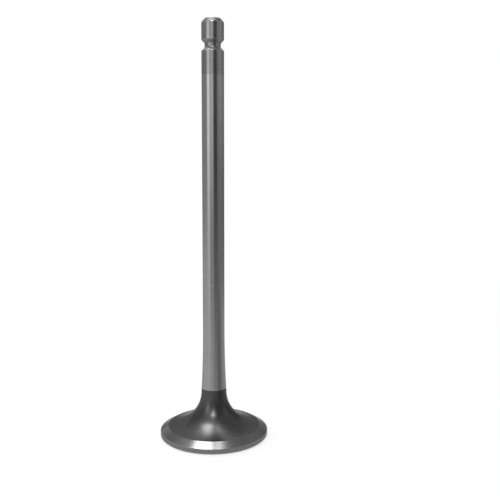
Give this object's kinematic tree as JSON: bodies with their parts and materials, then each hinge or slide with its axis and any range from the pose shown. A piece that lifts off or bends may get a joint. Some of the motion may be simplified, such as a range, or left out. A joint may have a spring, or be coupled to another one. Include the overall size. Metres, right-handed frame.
{
  "type": "engine valve",
  "caption": "Poppet valve with a flat-faced head, conical seat, filleted neck, long ground stem and a keeper groove below the tip.",
  "frame": {"origin": "centre of the head's flat face, which the valve stands on", "axes": "+Z along the stem's axis, from the head towards the tip"},
  "size_m": [0.0348, 0.0348, 0.132],
  "materials": {
    "valve_steel": "ground and polished stem, dark oxidised neck and head, bright ground seat"
  },
  "bodies": {
    "root": {"valve": "valve_steel"}
  },
  "joints": []
}
